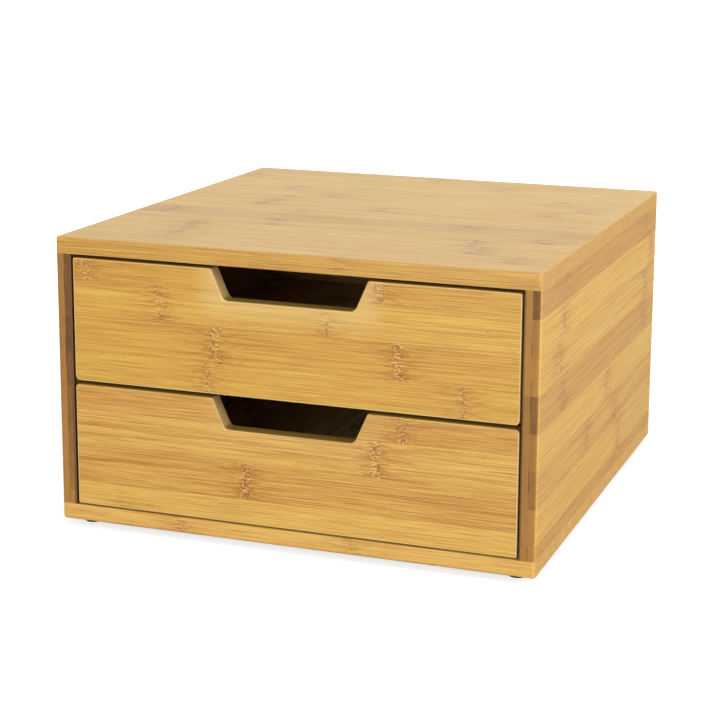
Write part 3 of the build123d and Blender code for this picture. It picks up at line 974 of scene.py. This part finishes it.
def turned_wood(name, grain):
    """Pale dowel wood with short pores along the grain axis."""
    material, wiring, shader, position, _ = new_material(name)
    place = wiring.axes(position)
    first, second = (place[axis] for axis in "XYZ" if axis != grain)
    pores = wiring.soft_marks(place[grain], wiring.add(first, second), 0.0, PORE)
    spots = wiring.group(mottle, Position=position, Patch=6.0, Grit=0.4)
    tone = wiring.mix(spots["Patches"], PALE_DOWEL, DEEP_DOWEL)
    colour = wiring.mix(wiring.times(pores, PORE_SHADE), tone, PORE_BROWN)
    wiring.feed(shader.inputs["Base Color"], colour)
    wiring.feed(shader.inputs["Roughness"], wiring.spread(spots["Grit"], low=0.5, high=0.7))
    wiring.feed(shader.inputs["Normal"], wiring.bump(pores, strength=0.2, depth=-0.1))
    return material


def dress_small_pieces():
    rubber = moulded_rubber()
    steel = zinc_steel()
    upright_dowels = turned_wood("upright_dowel_wood", "Z")
    lying_dowels = turned_wood("lying_dowel_wood", "Y")
    for name in nodes:
        if name.endswith("_foot"):
            dress(name, rubber)
        elif name.endswith("_screws"):
            dress(name, steel)
        elif name.endswith("_drawer_dowels"):
            dress(name, lying_dowels)
    dress("case_dowels", upright_dowels)


dress_case()
dress_drawer_fronts()
dress_inside()
dress_small_pieces()

# Camera: place and aim from the photograph's perspective, in metres, degrees and pixels
PICTURE = 709.0
FOCAL_PIXELS = 1868.3
SENSOR_MM = 36.0
CAMERA_PLACE = Vector((0.4029, -1.1214, 0.3820))
AZIMUTH = 19.43
ELEVATION = 11.82
ROLL = 0.48
SHIFT = (-0.05, -0.10)
NEAREST_SEEN = 0.05
FARTHEST_SEEN = 50.0


def add_camera():
    bpy.ops.object.camera_add(location=CAMERA_PLACE)
    camera = bpy.context.object
    camera.data.sensor_width = SENSOR_MM
    camera.data.lens = FOCAL_PIXELS / PICTURE * SENSOR_MM
    camera.data.shift_x, camera.data.shift_y = SHIFT
    camera.data.clip_start = NEAREST_SEEN
    camera.data.clip_end = FARTHEST_SEEN
    azimuth, elevation = math.radians(AZIMUTH), math.radians(ELEVATION)
    back = Vector((
        math.sin(azimuth) * math.cos(elevation),
        -math.cos(azimuth) * math.cos(elevation),
        math.sin(elevation),
    ))
    aim = (-back).to_track_quat("-Z", "Y").to_matrix()
    camera.rotation_mode = "QUATERNION"
    camera.rotation_quaternion = (aim @ Matrix.Rotation(math.radians(ROLL), 3, "Z")).to_quaternion()
    bpy.context.scene.camera = camera


# Floor and world: a strength of 1 is white to the camera
WHITE = (1.0, 1.0, 1.0, 1.0)
FLOOR_GREY = (0.42, 0.42, 0.42, 1.0)
FLOOR_ROUGHNESS = 0.9
FLOOR_SIZE = 12.0  # metres
FLOOR_UNDER_BOX = 0.72
FLOOR_IN_MIRRORS = 0.05
SHADOW_REACH = (0.25, 0.8)  # metres from the middle of the box
WORLD_LIGHT = 0.45
WORLD_IN_FRONT = 0.35
FRONT_TO_BACK = (-0.4, 0.3)  # the Y of a direction, -1 to 1


def add_floor():
    """A floor that keeps the shadow. It shines white to the camera, a little less under the box."""
    bpy.ops.mesh.primitive_plane_add(size=FLOOR_SIZE, location=(0, 0, 0))
    floor = bpy.context.object
    floor.name = "floor"
    material = bpy.data.materials.new("white_floor")
    material.use_nodes = True
    wiring = Wiring(material.node_tree)
    shader = material.node_tree.nodes["Principled BSDF"]
    shader.inputs["Base Color"].default_value = FLOOR_GREY
    shader.inputs["Roughness"].default_value = FLOOR_ROUGHNESS
    shader.inputs["Specular IOR Level"].default_value = 0.0
    shader.inputs["Emission Color"].default_value = WHITE
    where = wiring.node("ShaderNodeTexCoord")
    length = wiring.node("ShaderNodeVectorMath", operation="LENGTH")
    wiring.feed(length.inputs[0], where.outputs["Object"])
    far_off = wiring.step(length.outputs["Value"], *SHADOW_REACH)
    ray = wiring.node("ShaderNodeLightPath").outputs
    seen = wiring.times(wiring.spread(far_off, FLOOR_UNDER_BOX, 1.0), ray["Is Camera Ray"])
    mirrored = wiring.math("MAXIMUM", ray["Is Glossy Ray"], ray["Is Transmission Ray"])
    mirrored = wiring.times(mirrored, FLOOR_IN_MIRRORS)
    wiring.feed(shader.inputs["Emission Strength"], wiring.add(seen, mirrored))
    floor.data.materials.append(material)


def add_world():
    """White to the camera and in reflections, dimmer in those from the front, and a soft even light."""
    world = bpy.data.worlds.new("studio")
    world.use_nodes = True
    bpy.context.scene.world = world
    wiring = Wiring(world.node_tree)
    background = world.node_tree.nodes["Background"]
    ray = wiring.node("ShaderNodeLightPath").outputs
    where = wiring.node("ShaderNodeTexCoord")
    behind = wiring.step(wiring.axes(where.outputs["Generated"])["Y"], *FRONT_TO_BACK)
    white = wiring.math("MAXIMUM", ray["Is Camera Ray"], wiring.spread(behind, WORLD_IN_FRONT, 1.0))
    seen = wiring.math("MAXIMUM", ray["Is Camera Ray"], ray["Is Glossy Ray"])
    seen = wiring.math("MAXIMUM", seen, ray["Is Transmission Ray"])
    background.inputs["Color"].default_value = WHITE
    wiring.feed(background.inputs["Strength"], wiring.between(seen, WORLD_LIGHT, white))


# Lamps: name, place, side in metres, power in watts
LAMPS = [
    ("key_light", (0.0, -2.4, 0.7), 1.4, 39.0),
    ("side_light", (2.3, -0.25, 0.8), 1.4, 50.0),
    ("fill_light", (-2.3, -1.0, 0.8), 1.2, 6.0),
    ("top_light", (0.0, 0.9, 1.7), 1.4, 10.0),
]
LIT_PLACE = Vector((0, 0, 0.08))


def add_lamps():
    for name, place, side, power in LAMPS:
        bpy.ops.object.light_add(type="AREA", location=place)
        lamp = bpy.context.object
        lamp.name = name
        lamp.data.size = side
        lamp.data.energy = power
        lamp.rotation_euler = (LIT_PLACE - Vector(place)).to_track_quat("-Z", "Y").to_euler()


add_camera()
add_floor()
add_world()
add_lamps()
bpy.context.scene.view_settings.view_transform = "Standard"
